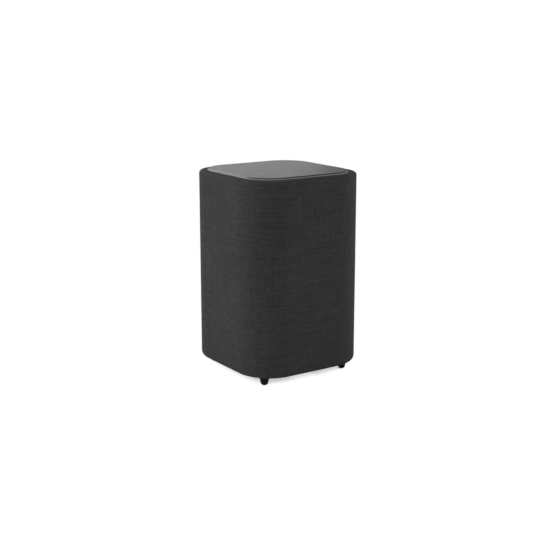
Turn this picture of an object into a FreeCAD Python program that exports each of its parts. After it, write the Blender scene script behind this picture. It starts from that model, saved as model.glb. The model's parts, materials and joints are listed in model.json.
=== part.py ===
"""Down-firing wireless subwoofer with a fabric-wrapped cabinet.

Frame: millimetres, +Z up, the floor is z = 0, the origin is under the middle of the cabinet.
The front faces -Y and the connection niche is in the back, at +Y.
All driving dimensions are in the spreadsheet "dims"; every sub-part reads its sizes from it.
"""
import FreeCAD, Part
import math
import os
import Sketcher
from FreeCAD import Placement, Rotation, Vector

doc = FreeCAD.newDocument("subwoofer")
sheet = doc.addObject("Spreadsheet::Sheet", "dims")

DIMENSIONS = [
    # cabinet envelope
    ("body_wide", 352), ("body_base", 24), ("body_top", 531), ("body_corner", 98),
    ("edge_upper", 8), ("edge_lower", 14), ("fabric_thick", 2), ("fabric_band_top", 28),
    ("fabric_band_low", 17), ("wall_thick", 15), ("board_top_thick", 15), ("baffle_thick", 18),
    ("cover_thick", 7), ("brace_base", 312), ("brace_thick", 12), ("brace_window", 214),
    # top
    ("trim_wide", 307.6), ("trim_thick", 1.8), ("trim_lip", 6.3), ("slab_wide", 304.4), ("slab_thick", 3.0),
    ("slab_edge", 2.4), ("carrier_wide", 293), ("carrier_thick", 3.8),
    # feet
    ("foot_spot", 124.5), ("foot_upper", 14.0), ("foot_lower", 9.3), ("foot_rise", 1.5), ("foot_round", 3.8),
    ("pad_reach", 5.3), ("pad_thick", 4), ("foot_seat", 8), ("foot_bore", 5.5),
    # driver
    ("driver_off", 40), ("flange_reach", 108), ("flange_thick", 5), ("flange_low", 25), ("flange_inner", 95.5),
    ("screw_ring", 102.2), ("cutout_reach", 97.5), ("gasket_thick", 1), ("cone_reach", 79.5), ("cone_edge", 27.2),
    ("cone_neck", 20.4), ("cone_deep", 42), ("paper_thick", 1.2), ("roll_mid", 87.2), ("roll_size", 8.2),
    ("roll_thick", 1.3), ("cap_reach", 36), ("cap_rise", 13), ("former_reach", 19.3), ("former_thick", 0.3),
    ("former_low", 64), ("former_top", 108), ("coil_low", 84), ("coil_top", 108), ("coil_thick", 1.9),
    ("spider_level", 76), ("spider_reach", 63), ("spider_thick", 0.8), ("spider_wave", 1.7),
    ("ledge_level", 77.7), ("basket_floor", 89), ("basket_steel", 3), ("plate_low", 92), ("plate_thick", 8),
    ("plate_reach", 56), ("gap_reach", 22), ("magnet_thick", 26), ("magnet_reach", 68), ("magnet_bore", 32),
    ("yoke_thick", 9), ("yoke_reach", 62), ("pole_reach", 18.3), ("vent_reach", 5),
    # port
    ("port_off", -112), ("port_reach", 28), ("port_wall", 2.5), ("port_flare", 36), ("port_top", 186),
    # connection niche
    ("niche_level", 96), ("niche_wide", 96), ("niche_high", 52), ("niche_corner", 12), ("niche_wall", 2),
    ("niche_floor", 148), ("niche_bezel", 104), ("niche_bezel_high", 60), ("bezel_corner", 15),
    ("inlet_spot", -24), ("pin_gap", 8.6), ("pin_reach", 1.2), ("slot_half", 4.2), ("inlet_deep", 11),
    ("usb_spot", 6), ("lamp_spot", 19), ("button_spot", 32), ("button_reach", 4.5), ("button_proud", 1.6),
    # amplifier
    ("chassis_wide", 154), ("chassis_low", 63), ("chassis_top", 299), ("chassis_thick", 2),
    ("housing_deep", 36), ("housing_wall", 2), ("board_thick", 1.6),
]
for row, (alias, value) in enumerate(DIMENSIONS, start=1):
    sheet.set("A%d" % row, alias)
    sheet.set("B%d" % row, str(value))
    sheet.setAlias("B%d" % row, alias)
doc.recompute()


class Size:
    """A number together with the spreadsheet expression that gives it."""

    def __init__(self, value, text):
        self.value, self.text = float(value), text

    @staticmethod
    def of(other):
        return other if isinstance(other, Size) else Size(other, repr(float(other)))

    def __add__(self, o): o = Size.of(o); return Size(self.value + o.value, "(%s + %s)" % (self.text, o.text))
    def __radd__(self, o): return Size.of(o) + self
    def __sub__(self, o): o = Size.of(o); return Size(self.value - o.value, "(%s - %s)" % (self.text, o.text))
    def __rsub__(self, o): return Size.of(o) - self
    def __mul__(self, o): o = Size.of(o); return Size(self.value * o.value, "(%s * %s)" % (self.text, o.text))
    def __rmul__(self, o): return Size.of(o) * self
    def __truediv__(self, o): o = Size.of(o); return Size(self.value / o.value, "(%s / %s)" % (self.text, o.text))
    def __neg__(self): return Size(-self.value, "(0 - %s)" % self.text)
    def __float__(self): return self.value


class Dims:
    pass


d = Dims()
for alias, value in DIMENSIONS:
    setattr(d, alias, Size(value, "dims." + alias))

parts = []          # finished sub-parts, in order
used = {}


def unique(name):
    used[name] = used.get(name, 0) + 1
    return name if used[name] == 1 else "%s_%02d" % (name, used[name])


def bind(obj, prop, size):
    if isinstance(size, Size):
        obj.setExpression(prop, size.text)


def place(obj, x=0, y=0, z=0, rot=None):
    obj.Placement = Placement(Vector(float(x), float(y), float(z)), rot or Rotation())
    for axis, size in (("x", x), ("y", y), ("z", z)):
        bind(obj, "Placement.Base." + axis, size)
    return obj


def finish(obj, label):
    obj.Label = label
    parts.append(obj)
    return obj


# ---- PartDesign helpers ------------------------------------------------------------------
def new_body(name):
    return doc.addObject("PartDesign::Body", unique(name))


def new_sketch(body, plane, offset=0):
    sk = body.newObject("Sketcher::SketchObject", unique(body.Name + "_sk"))
    sk.AttachmentSupport = [(next(f for f in body.Origin.OriginFeatures if f.Role == plane), "")]
    sk.MapMode = "FlatFace"
    sk.AttachmentOffset = Placement(Vector(0, 0, float(offset)), Rotation())
    bind(sk, "AttachmentOffset.Base.z", offset)
    return sk


def fix(sk, kind, *args):
    """Adds a constraint whose last argument may be a Size."""
    size = args[-1]
    i = sk.addConstraint(Sketcher.Constraint(kind, *(list(args[:-1]) + [float(size)])))
    if isinstance(size, Size):
        sk.setExpression("Constraints[%d]" % i, size.text)
    return i


def rounded(sk, cx, cy, w, h, r):
    """A rounded rectangle round (cx, cy)."""
    ax, ay, rr = float(w) / 2 - float(r), float(h) / 2 - float(r), float(r)
    X, Y = float(cx), float(cy)
    first = len(sk.Geometry)
    normal = Vector(0, 0, 1)
    for (sx, sy), start in (((1, 1), 0), ((-1, 1), 90), ((-1, -1), 180), ((1, -1), 270)):
        c = Vector(X + sx * ax, Y + sy * ay, 0)
        a = math.radians(start)
        sk.addGeometry(Part.ArcOfCircle(Part.Circle(c, normal, rr), a, a + math.pi / 2), False)
    hx, hy = ax + rr, ay + rr
    lines = [((X + ax, Y + hy), (X - ax, Y + hy)), ((X - hx, Y + ay), (X - hx, Y - ay)),
             ((X - ax, Y - hy), (X + ax, Y - hy)), ((X + hx, Y - ay), (X + hx, Y + ay))]
    for p, q in lines:
        sk.addGeometry(Part.LineSegment(Vector(p[0], p[1], 0), Vector(q[0], q[1], 0)), False)
    arc = [first + k for k in range(4)]
    line = [first + 4 + k for k in range(4)]
    for k in range(4):
        sk.addConstraint(Sketcher.Constraint("Tangent", arc[k], 2, line[k], 1))
        sk.addConstraint(Sketcher.Constraint("Tangent", line[k], 2, arc[(k + 1) % 4], 1))
    for k in (1, 2, 3):
        sk.addConstraint(Sketcher.Constraint("Equal", arc[0], arc[k]))
    sk.addConstraint(Sketcher.Constraint("Horizontal", line[0]))
    sk.addConstraint(Sketcher.Constraint("Vertical", line[1]))
    fix(sk, "Radius", arc[0], r)
    fix(sk, "DistanceX", arc[0], 3, cx + w / 2 - r)
    fix(sk, "DistanceY", arc[0], 3, cy + h / 2 - r)
    fix(sk, "DistanceX", arc[2], 3, cx - w / 2 + r)
    fix(sk, "DistanceY", arc[2], 3, cy - h / 2 + r)


def circle(sk, cx, cy, r):
    i = sk.addGeometry(Part.Circle(Vector(float(cx), float(cy), 0), Vector(0, 0, 1), float(r)), False)
    fix(sk, "Radius", i, r)
    fix(sk, "DistanceX", i, 3, cx)
    fix(sk, "DistanceY", i, 3, cy)


def outline(sk, points):
    """A closed outline. A point is (x, y), or (x, y, radius, side) where an arc of that radius leads to it;
    side is 1 where the arc turns left on the way and -1 where it turns right."""
    n = len(points)
    made = []
    for k in range(n):
        p, q = points[k - 1], points[k]
        a, b = Vector(float(p[0]), float(p[1]), 0), Vector(float(q[0]), float(q[1]), 0)
        if len(q) == 2:
            g = sk.addGeometry(Part.LineSegment(a, b), False)
            made.append((g, 1, 2))
        else:
            r, side = float(q[2]), q[3]
            mid, half = (a + b) * 0.5, (b - a).Length / 2
            left = Vector(-(b - a).y, (b - a).x, 0).normalize()
            c = mid + left * (side * math.sqrt(max(r * r - half * half, 0.0)))
            s, e = (a, b) if side > 0 else (b, a)
            a0 = math.atan2(s.y - c.y, s.x - c.x)
            a1 = math.atan2(e.y - c.y, e.x - c.x)
            if a1 < a0:
                a1 += 2 * math.pi
            g = sk.addGeometry(Part.ArcOfCircle(Part.Circle(c, Vector(0, 0, 1), r), a0, a1), False)
            made.append((g, 1, 2) if side > 0 else (g, 2, 1))
            if abs(r - half) < 1e-6:        # a half circle: hold its centre's level instead
                fix(sk, "DistanceY", g, 3, q[1])
            else:
                fix(sk, "Radius", g, q[2])
    for k in range(n):
        (g, _, end), (h, start, _) = made[k], made[(k + 1) % n]
        sk.addConstraint(Sketcher.Constraint("Coincident", g, end, h, start))
        fix(sk, "DistanceX", g, end, points[k][0])
        fix(sk, "DistanceY", g, end, points[k][1])


def pad(body, sk, length, reverse=False):
    f = body.newObject("PartDesign::Pad", unique(body.Name + "_pad"))
    f.Profile, f.Length, f.Reversed = sk, float(length), reverse
    bind(f, "Length", length)
    sk.Visibility = False
    doc.recompute()
    return f


def pocket(body, sk, length, reverse=False):
    before = body.Shape.Volume
    f = body.newObject("PartDesign::Pocket", unique(body.Name + "_pocket"))
    f.Profile, f.Length, f.Reversed = sk, float(length), reverse
    bind(f, "Length", length)
    sk.Visibility = False
    doc.recompute()
    if body.Shape.Volume > before - 1e-3:
        raise RuntimeError("%s cuts nothing" % f.Name)
    return f


def revolve(body, sk, cut=False):
    before = 0 if body.Shape.isNull() else body.Shape.Volume
    f = body.newObject("PartDesign::Groove" if cut else "PartDesign::Revolution", unique(body.Name + "_turn"))
    f.Profile, f.ReferenceAxis, f.Angle = sk, (sk, ["V_Axis"]), 360.0
    sk.Visibility = False
    doc.recompute()
    if cut and body.Shape.Volume > before - 1e-3:
        raise RuntimeError("%s cuts nothing" % f.Name)
    return f


def around(body, feature, count):
    f = body.newObject("PartDesign::PolarPattern", unique(body.Name + "_polar"))
    f.Originals, f.Angle, f.Occurrences = [feature], 360.0, count
    f.Axis = (feature.Profile[0], ["N_Axis"])
    body.Tip = f
    doc.recompute()
    return f


def soften(body, keep, r, kind="Fillet"):
    """Rounds or bevels the edges of the body for which keep(edge) is true."""
    names = ["Edge%d" % (i + 1) for i, e in enumerate(body.Shape.Edges) if keep(e)]
    if not names:
        raise RuntimeError("no edge to round on %s" % body.Name)
    f = body.newObject("PartDesign::" + kind, unique(body.Name + "_edge"))
    f.Base = (body.Tip if body.Tip != f else f.BaseFeature, names)
    prop = "Radius" if kind == "Fillet" else "Size"
    setattr(f, prop, float(r))
    bind(f, prop, r)
    doc.recompute()
    return f


def at_level(z, tol=1e-4):
    return lambda e: abs(e.BoundBox.ZMin - float(z)) < tol and abs(e.BoundBox.ZMax - float(z)) < tol


def at_depth(y, tol=1e-4):
    return lambda e: abs(e.BoundBox.YMin - float(y)) < tol and abs(e.BoundBox.YMax - float(y)) < tol


def slab(name, w, r, low, high, plane="XY_Plane"):
    """A rounded-square block between two levels."""
    body = new_body(name)
    sk = new_sketch(body, plane, low)
    rounded(sk, Size.of(0), Size.of(0), Size.of(w), Size.of(w), Size.of(r))
    pad(body, sk, high - low)
    return body


def rear_block(name, cx, cz, w, h, r, y_out, deep):
    """A rounded block whose outer face is at y_out, reaching inwards, towards -Y."""
    body = new_body(name)
    sk = new_sketch(body, "XZ_Plane", -Size.of(y_out))
    rounded(sk, Size.of(cx), Size.of(cz), Size.of(w), Size.of(h), Size.of(r))
    pad(body, sk, deep)
    return body


def turned(name, points, y=0, x=0):
    body = new_body(name)
    sk = new_sketch(body, "XZ_Plane")
    outline(sk, points)
    revolve(body, sk)
    place(body, x, y, 0)
    doc.recompute()
    return body


# ---- Part helpers ------------------------------------------------------------------------
UP, BACK = Rotation(), Rotation(Vector(1, 0, 0), -90)   # a cylinder along +Z, or along +Y


def rod(name, r, length, x=0, y=0, z=0, rot=UP):
    o = doc.addObject("Part::Cylinder", unique(name))
    o.Radius, o.Height = float(r), float(length)
    bind(o, "Radius", r)
    bind(o, "Height", length)
    return place(o, x, y, z, rot)


def taper(name, r1, r2, length, x=0, y=0, z=0, rot=UP):
    o = doc.addObject("Part::Cone", unique(name))
    o.Radius1, o.Radius2, o.Height = float(r1), float(r2), float(length)
    bind(o, "Radius1", r1)
    bind(o, "Radius2", r2)
    bind(o, "Height", length)
    return place(o, x, y, z, rot)


def brick(name, lx, ly, lz, x, y, z):
    """A box centred on x, from y to y + ly and from z to z + lz."""
    o = doc.addObject("Part::Box", unique(name))
    o.Length, o.Width, o.Height = float(lx), float(ly), float(lz)
    for prop, size in (("Length", lx), ("Width", ly), ("Height", lz)):
        bind(o, prop, size)
    return place(o, Size.of(x) - Size.of(lx) / 2, y, z)


def hexagon(name, r, length, x, y, z, rot=UP):
    o = doc.addObject("Part::Prism", unique(name))
    o.Polygon, o.Circumradius, o.Height = 6, float(r), float(length)
    bind(o, "Circumradius", r)
    return place(o, x, y, z, rot)


def cut(name, base, *tools):
    o = base
    for t in tools:
        c = doc.addObject("Part::Cut", unique(name + "_less"))
        c.Base, c.Tool = o, t
        o = c
    return o


def join(name, *shapes):
    o = doc.addObject("Part::MultiFuse", unique(name + "_joined"))
    o.Shapes = list(shapes)
    return o


def group(name, items):
    o = doc.addObject("Part::Compound", unique(name))
    o.Links = list(items)
    return o


def screw(name, x, y, z, head, high, shank, long, way="down", socket=None, sunk=False):
    """A screw whose head's underside is at the point. way is where the head points: down, up, rear or front."""
    socket = socket or head * 0.5
    flip = Rotation(Vector(1, 0, 0), 180)
    front = Rotation(Vector(1, 0, 0), 90)
    rot_head = {"down": flip, "up": UP, "rear": BACK, "front": front}[way]
    rot_shank = {"down": UP, "up": flip, "rear": front, "front": BACK}[way]
    step = {"down": (0, 0, -1), "up": (0, 0, 1), "rear": (0, 1, 0), "front": (0, -1, 0)}[way]
    if sunk:
        h = taper(name + "_head", shank, head, high, x, y, z, rot_head)
    else:
        h = rod(name + "_head", head, high, x, y, z, rot_head)
    s = rod(name + "_shank", shank, long, x, y, z, rot_shank)
    k = 0.4
    hx = hexagon(name + "_socket", socket, float(high) * 1.5,
                 x + step[0] * float(high) * k, y + step[1] * float(high) * k, z + step[2] * float(high) * k, rot_head)
    return cut(name, join(name + "_blank", h, s), hx)


# ==== cabinet =============================================================================
core_wide = d.body_wide - 2 * d.fabric_thick
core_corner = d.body_corner - d.fabric_thick
core_base = d.body_base + d.fabric_thick
core_top = d.body_top - d.fabric_thick
room_wide = core_wide - 2 * d.wall_thick
room_corner = core_corner - d.wall_thick
rear_face = d.body_wide / 2
rear_core = core_wide / 2
rear_room = room_wide / 2

wrap = slab("cabinet_wrap", core_wide, core_corner, core_base, core_top)
soften(wrap, at_level(core_base), d.edge_lower - d.fabric_thick)
soften(wrap, at_level(core_top), d.edge_upper - d.fabric_thick)
sk = new_sketch(wrap, "XY_Plane", core_top + 1)
rounded(sk, Size.of(0), Size.of(0), room_wide, room_wide, room_corner)
pocket(wrap, sk, core_top - core_base + 2)
sk = new_sketch(wrap, "XZ_Plane", -(rear_room - 5))
rounded(sk, Size.of(0), d.niche_level, d.niche_wide + 0.4, d.niche_high + 0.4, d.niche_corner + 0.2)
pocket(wrap, sk, 40)
finish(wrap, "cabinet_wrap")

top_board = slab("cabinet_top_board", room_wide, room_corner, core_top - d.board_top_thick, core_top)
finish(top_board, "cabinet_top_board")

baffle_low = d.body_base + d.cover_thick
baffle = slab("baffle_board", room_wide, room_corner, baffle_low, baffle_low + d.baffle_thick)
sk = new_sketch(baffle, "XY_Plane", baffle_low + d.baffle_thick + 1)
circle(sk, Size.of(0), d.driver_off, d.cutout_reach)
circle(sk, Size.of(0), d.port_off, d.port_reach + d.port_wall + 0.1)
for sx in (1, -1):
    for sy in (1, -1):
        circle(sk, d.foot_spot * sx, d.foot_spot * sy, Size.of(2.55))
pocket(baffle, sk, d.baffle_thick + 2)
finish(baffle, "baffle_board")

brace = slab("cabinet_brace", room_wide, room_corner, d.brace_base, d.brace_base + d.brace_thick)
sk = new_sketch(brace, "XY_Plane", d.brace_base + d.brace_thick + 1)
rounded(sk, Size.of(0), Size.of(0), d.brace_window, d.brace_window, Size.of(46))
pocket(brace, sk, d.brace_thick + 2)
finish(brace, "cabinet_brace")

outer = slab("fabric_outer", d.body_wide, d.body_corner, d.body_base, d.body_top)
soften(outer, at_level(d.body_base), d.edge_lower)
soften(outer, at_level(d.body_top), d.edge_upper)
inner = slab("fabric_inner", core_wide, core_corner, core_base, core_top)
soften(inner, at_level(core_base), d.edge_lower - d.fabric_thick)
soften(inner, at_level(core_top), d.edge_upper - d.fabric_thick)
hole_top = slab("fabric_hole_top", d.body_wide - 2 * d.fabric_band_top, d.body_corner - d.fabric_band_top,
                core_top - 10, d.body_top + 5)
hole_low = slab("fabric_hole_low", d.body_wide - 2 * d.fabric_band_low, d.body_corner - d.fabric_band_low,
                d.body_base - 5, core_base + 10)
hole_rear = rear_block("fabric_hole_rear", 0, d.niche_level, d.niche_bezel + 0.3, d.niche_bezel_high + 0.3,
                       d.bezel_corner + 0.15, rear_face + 5, 20)
finish(cut("fabric_sleeve", outer, inner, hole_top, hole_low, hole_rear), "fabric_sleeve")

# wadding that lines the upper chamber: soft, so it stands a little clear of the walls
wad = slab("damping_wadding", room_wide - 2, room_corner - 1, d.brace_base + d.brace_thick + 3,
           core_top - d.board_top_thick - 3)
sk = new_sketch(wad, "XY_Plane", core_top)
rounded(sk, Size.of(0), Size.of(0), room_wide - 46, room_wide - 46, room_corner - 23)
pocket(wad, sk, core_top - d.brace_base)
finish(wad, "damping_wadding")

# ==== top =================================================================================
carrier = slab("top_carrier", d.carrier_wide, d.body_corner - d.fabric_band_top - 1.5, core_top, core_top + d.carrier_thick)
spots = [(118, 118), (-118, 118), (-118, -118), (118, -118), (0, 128), (0, -128)]
sk = new_sketch(carrier, "XY_Plane", core_top + d.carrier_thick + 1)
for x, y in spots:
    circle(sk, Size.of(x), Size.of(y), Size.of(4.3))
pocket(carrier, sk, Size.of(3.2))
sk = new_sketch(carrier, "XY_Plane", core_top + d.carrier_thick + 1)
for x, y in spots:
    circle(sk, Size.of(x), Size.of(y), Size.of(2.1))
pocket(carrier, sk, d.carrier_thick + 3)
finish(carrier, "top_carrier")

carrier_screws = [screw("carrier_screw", x, y, core_top + 1.6, 4.0, 1.9, 1.9, 14, "up") for x, y in spots]
# their pilot holes
pilots = new_sketch(top_board, "XY_Plane", core_top + 1)
for x, y in spots:
    circle(pilots, Size.of(x), Size.of(y), Size.of(1.95))
pocket(top_board, pilots, Size.of(15))
finish(group("carrier_screws", carrier_screws), "carrier_screws")

trim_corner = d.body_corner - (d.body_wide - d.trim_wide) / 2
trim = slab("top_trim_ring", d.trim_wide, trim_corner, d.body_top, d.body_top + d.trim_thick)
soften(trim, at_level(d.body_top + d.trim_thick), 0.9, "Chamfer")
sk = new_sketch(trim, "XY_Plane", d.body_top + d.trim_thick + 1)
rounded(sk, Size.of(0), Size.of(0), d.trim_wide - 2 * d.trim_lip, d.trim_wide - 2 * d.trim_lip, trim_corner - d.trim_lip)
pocket(trim, sk, d.trim_thick + 2)
finish(trim, "top_trim_ring")

slab_low = d.body_top + d.trim_thick
panel = slab("top_panel", d.slab_wide, trim_corner - 0.8, slab_low, slab_low + d.slab_thick)
soften(panel, at_level(slab_low + d.slab_thick), d.slab_edge, "Chamfer")
finish(panel, "top_panel")

# ==== bottom ==============================================================================
cover_wide = d.body_wide - 2 * d.fabric_band_low - 2
cover = slab("bottom_cover", cover_wide, d.body_corner - d.fabric_band_low - 1, d.body_base, d.body_base + d.cover_thick)
soften(cover, at_level(d.body_base), 1.5)
sk = new_sketch(cover, "XY_Plane", d.body_base + d.cover_thick + 1)
circle(sk, Size.of(0), d.driver_off, d.flange_reach + 1.5)
circle(sk, Size.of(0), d.port_off, d.port_flare + 0.3)
for sx in (1, -1):
    for sy in (1, -1):
        circle(sk, d.foot_spot * sx, d.foot_spot * sy, Size.of(2.7))
pocket(cover, sk, d.cover_thick + 2)
soften(cover, lambda e: at_level(d.body_base)(e) and e.Curve.TypeId == "Part::GeomCircle" and abs(e.Curve.Radius - float(d.flange_reach) - 1.5) < 1e-3, 2.0)
cover_spots = [(141, -34), (-141, -34), (141, 52), (-141, 52), (66, -141), (-66, -141)]
sk = new_sketch(cover, "XY_Plane", d.body_base + d.cover_thick + 1)
for x, y in cover_spots:
    circle(sk, Size.of(x), Size.of(y), Size.of(1.95))
pocket(cover, sk, d.cover_thick + 2)
sk = new_sketch(cover, "XY_Plane", d.body_base + 2.2)
for x, y in cover_spots:
    circle(sk, Size.of(x), Size.of(y), Size.of(4.2))
pocket(cover, sk, Size.of(4))
finish(cover, "bottom_cover")
pilots = new_sketch(baffle, "XY_Plane", baffle_low + 12)
for x, y in cover_spots:
    circle(pilots, Size.of(x), Size.of(y), Size.of(1.8))
pocket(baffle, pilots, Size.of(14))
finish(group("cover_screws", [screw("cover_screw", x, y, d.body_base + 2.2, 3.8, 1.9, 1.75, 14, "down")
                              for x, y in cover_spots]), "cover_screws")

# feet: a tapered moulding with a counterbore for its screw, and a rubber pad pressed in under the screw
foot_names = {(-1, -1): "foot_front_left", (1, -1): "foot_front_right", (-1, 1): "foot_rear_left", (1, 1): "foot_rear_right"}
pads, foot_screws = [], []
for (sx, sy), name in foot_names.items():
    z0, z1 = d.foot_rise, d.body_base
    foot = turned(name, [
        (d.foot_bore, z0), (d.foot_lower, z0 + d.foot_round, d.foot_round, 1),
        (d.foot_upper, z1), (Size.of(2.7), z1), (Size.of(2.7), d.foot_seat), (d.foot_bore, d.foot_seat)],
        d.foot_spot * sy, d.foot_spot * sx)
    finish(foot, name)
    base = turned("pad", [
        (Size.of(0), Size.of(0)), (d.pad_reach - 1, Size.of(0)), (d.pad_reach, Size.of(1), Size.of(1), 1),
        (d.pad_reach, d.pad_thick - 0.2), (Size.of(0), d.pad_thick - 0.2)], d.foot_spot * sy, d.foot_spot * sx)
    pads.append(base)
    foot_screws.append(screw("foot_screw", d.foot_spot * sx, d.foot_spot * sy, d.foot_seat, 4.8, 3.8, 2.5, 34, "down", 2.3))
finish(group("foot_pads", pads), "foot_pads")
finish(group("foot_screws", foot_screws), "foot_screws")

# ==== driver ==============================================================================
fl, ft = d.flange_low, d.flange_low + d.flange_thick
st = d.basket_steel
basket = turned("driver_basket", [
    (d.flange_inner, fl + 2.2), (d.flange_inner + 3.8, fl + 2.2), (d.flange_inner + 3.8, fl),
    (d.flange_reach, fl), (d.flange_reach, ft), (d.cutout_reach - 0.8, ft), (d.cutout_reach - 1.2, ft + 4),
    (d.spider_reach + st + 2.5, d.ledge_level - 1.5), (d.spider_reach + st + 1.5, d.ledge_level + st),
    (d.plate_reach - 2, d.basket_floor), (d.plate_reach - 3, d.basket_floor + st), (d.gap_reach + 3, d.basket_floor + st),
    (d.gap_reach + 3, d.basket_floor), (d.plate_reach - 5, d.basket_floor), (d.spider_reach - 5, d.ledge_level + st),
    (d.spider_reach - 5, d.ledge_level), (d.spider_reach + 0.2, d.ledge_level), (d.cutout_reach - 1.2 - st, ft + 4),
    (d.flange_inner - 3, ft - 1), (d.flange_inner - 3, fl + 2.2)], d.driver_off)
sk = new_sketch(basket, "XY_Plane", ft + 8)
a = math.radians(21)
r1, r2 = d.spider_reach + 4.2, d.cutout_reach + 3
outline(sk, [(-r1 * math.sin(a * 0.82), r1 * math.cos(a * 0.82)), (-r2 * math.sin(a), r2 * math.cos(a)),
             (r2 * math.sin(a), r2 * math.cos(a)), (r1 * math.sin(a * 0.82), r1 * math.cos(a * 0.82))])
window = pocket(basket, sk, d.ledge_level - ft - 12, reverse=True)
around(basket, window, 6)
sk = new_sketch(basket, "XY_Plane", ft + 1)
circle(sk, d.screw_ring, Size.of(0), Size.of(2.4))
hole = pocket(basket, sk, d.flange_thick + 2)
around(basket, hole, 8)
finish(basket, "driver_basket")

finish(turned("driver_gasket", [
    (d.cutout_reach + 0.3, ft), (d.flange_reach - 0.5, ft), (d.flange_reach - 0.5, ft + d.gasket_thick),
    (d.cutout_reach + 0.3, ft + d.gasket_thick)], d.driver_off), "driver_gasket")
# the gasket's and the baffle's clearance for the driver screws
gasket = parts[-1]
sk = new_sketch(gasket, "XY_Plane", ft + d.gasket_thick + 1)
circle(sk, d.screw_ring, Size.of(0), Size.of(2.4))
around(gasket, pocket(gasket, sk, d.gasket_thick + 2), 8)
turns = [k * math.pi / 4 for k in range(8)]
pilots = new_sketch(baffle, "XY_Plane", baffle_low + d.baffle_thick + 1)
for t in turns:
    circle(pilots, d.screw_ring * math.cos(t), d.driver_off + d.screw_ring * math.sin(t), Size.of(2.25))
pocket(baffle, pilots, d.baffle_thick + 2)
finish(group("driver_screws", [screw("driver_screw", d.screw_ring * math.cos(t), d.driver_off + d.screw_ring * math.sin(t),
                                     fl, 4.4, 2.8, 2.2, 20, "down", 2.2) for t in turns]), "driver_screws")

# surround: an outer landing on the flange, a half roll, an inner landing on the cone
e, rt, rm, rs = d.cone_edge, d.roll_thick, d.roll_mid, d.roll_size
out_land = d.flange_inner + 3.3
finish(turned("surround", [
    (d.cone_reach - 5, e - rt), (rm - rs, e - rt), (rm + rs, e - rt, rs, 1), (out_land, e - rt), (out_land, e),
    (rm + rs - rt, e), (rm - rs + rt, e, rs - rt, -1), (d.cone_reach - 5, e)], d.driver_off), "surround")

# cone: curved paper body from the surround's inner landing to the voice coil former
neck_z = e + d.cone_deep
profile_out, profile_in = [], []
steps = 7
for k in range(steps + 1):
    t = k / steps
    r = (d.cone_reach - 5.3) + (d.cone_neck - (d.cone_reach - 5.3)) * t
    bow = 3.2 * math.sin(math.pi * t)
    z = e + 0.1 + d.cone_deep * t
    profile_out.append((r, z - bow * 0.55))
    profile_in.append((r + d.paper_thick * 0.55, z + d.paper_thick - bow * 0.55))
lip = [(d.cone_reach - 0.4, e + 0.1), (d.cone_reach - 0.4, e + 0.1 + d.paper_thick)]
cone_points = [lip[1], lip[0]] + profile_out + [(d.cone_neck, neck_z + 3), (d.cone_neck + d.paper_thick, neck_z + 3)] + profile_in[::-1]
finish(turned("cone", cone_points, d.driver_off), "cone")

# dust cap: a shallow dome glued over the middle of the cone, bulging down
cr, ch = d.cap_reach, d.cap_rise
ball = (cr.value ** 2 + ch.value ** 2) / (2 * ch.value)
t_cap = (d.cone_reach.value - 5.3 - cr.value) / (d.cone_reach.value - 5.3 - d.cone_neck.value)
seat = e.value + 0.1 + d.cone_deep.value * t_cap - 3.2 * 0.55 * math.sin(math.pi * t_cap)
cap_z = e + (seat - e.value - 0.9)
finish(turned("dust_cap", [
    (Size.of(0), cap_z - ch), (cr, cap_z, Size.of(ball), 1), (cr - 1.1, cap_z),
    (Size.of(0), cap_z - ch + 1.1, Size.of(ball - 1.1), -1)], d.driver_off), "dust_cap")

fr = d.former_reach
finish(turned("voice_coil_former", [(fr - d.former_thick, d.former_low), (fr, d.former_low), (fr, d.former_top),
                                    (fr - d.former_thick, d.former_top)], d.driver_off), "voice_coil_former")
finish(turned("voice_coil_winding", [(fr, d.coil_low), (fr + d.coil_thick, d.coil_low), (fr + d.coil_thick, d.coil_top),
                                     (fr, d.coil_top)], d.driver_off), "voice_coil_winding")
# collar that glues cone and spider to the former
finish(turned("coil_collar", [(fr, d.former_low + 1), (d.cone_neck, d.former_low + 1), (d.cone_neck, d.spider_level - 1),
                              (fr + 2.2, d.spider_level - 1), (fr + 2.2, d.spider_level), (fr, d.spider_level)], d.driver_off), "coil_collar")

# spider: corrugated cloth disc
low, high = [], []
n = 14
for k in range(n + 1):
    t = k / n
    r = fr + 0.1 + (d.spider_reach - 4.5 - fr - 0.1) * t
    w = 0.0 if k in (0, n) else (1 if k % 2 else -1)
    low.append((r, d.spider_level + w * d.spider_wave * 0.5 + 0.05))
    high.append((r, d.spider_level + w * d.spider_wave * 0.5 + d.spider_thick + 0.05))
rim = [(d.spider_reach - 0.2, d.spider_level + 0.05), (d.spider_reach - 0.2, d.spider_level + d.spider_thick + 0.05)]
finish(turned("spider", low + rim + high[::-1], d.driver_off), "spider")

pl = d.plate_low
finish(turned("magnet_front_plate", [(d.gap_reach, pl), (d.plate_reach, pl), (d.plate_reach, pl + d.plate_thick),
                                     (d.gap_reach, pl + d.plate_thick)], d.driver_off), "magnet_front_plate")
ml = pl + d.plate_thick
finish(turned("magnet_ring", [(d.magnet_bore, ml), (d.magnet_reach - 1.5, ml), (d.magnet_reach, ml + 1.5),
                              (d.magnet_reach, ml + d.magnet_thick - 1.5), (d.magnet_reach - 1.5, ml + d.magnet_thick),
                              (d.magnet_bore, ml + d.magnet_thick)], d.driver_off), "magnet_ring")
yl = ml + d.magnet_thick
finish(turned("pole_yoke", [(d.vent_reach, pl - 1), (d.pole_reach - 1, pl - 1), (d.pole_reach, pl), (d.pole_reach, yl),
                            (d.yoke_reach, yl), (d.yoke_reach, yl + d.yoke_thick - 3), (d.yoke_reach - 3, yl + d.yoke_thick),
                            (d.vent_reach, yl + d.yoke_thick)], d.driver_off), "pole_yoke")

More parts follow.
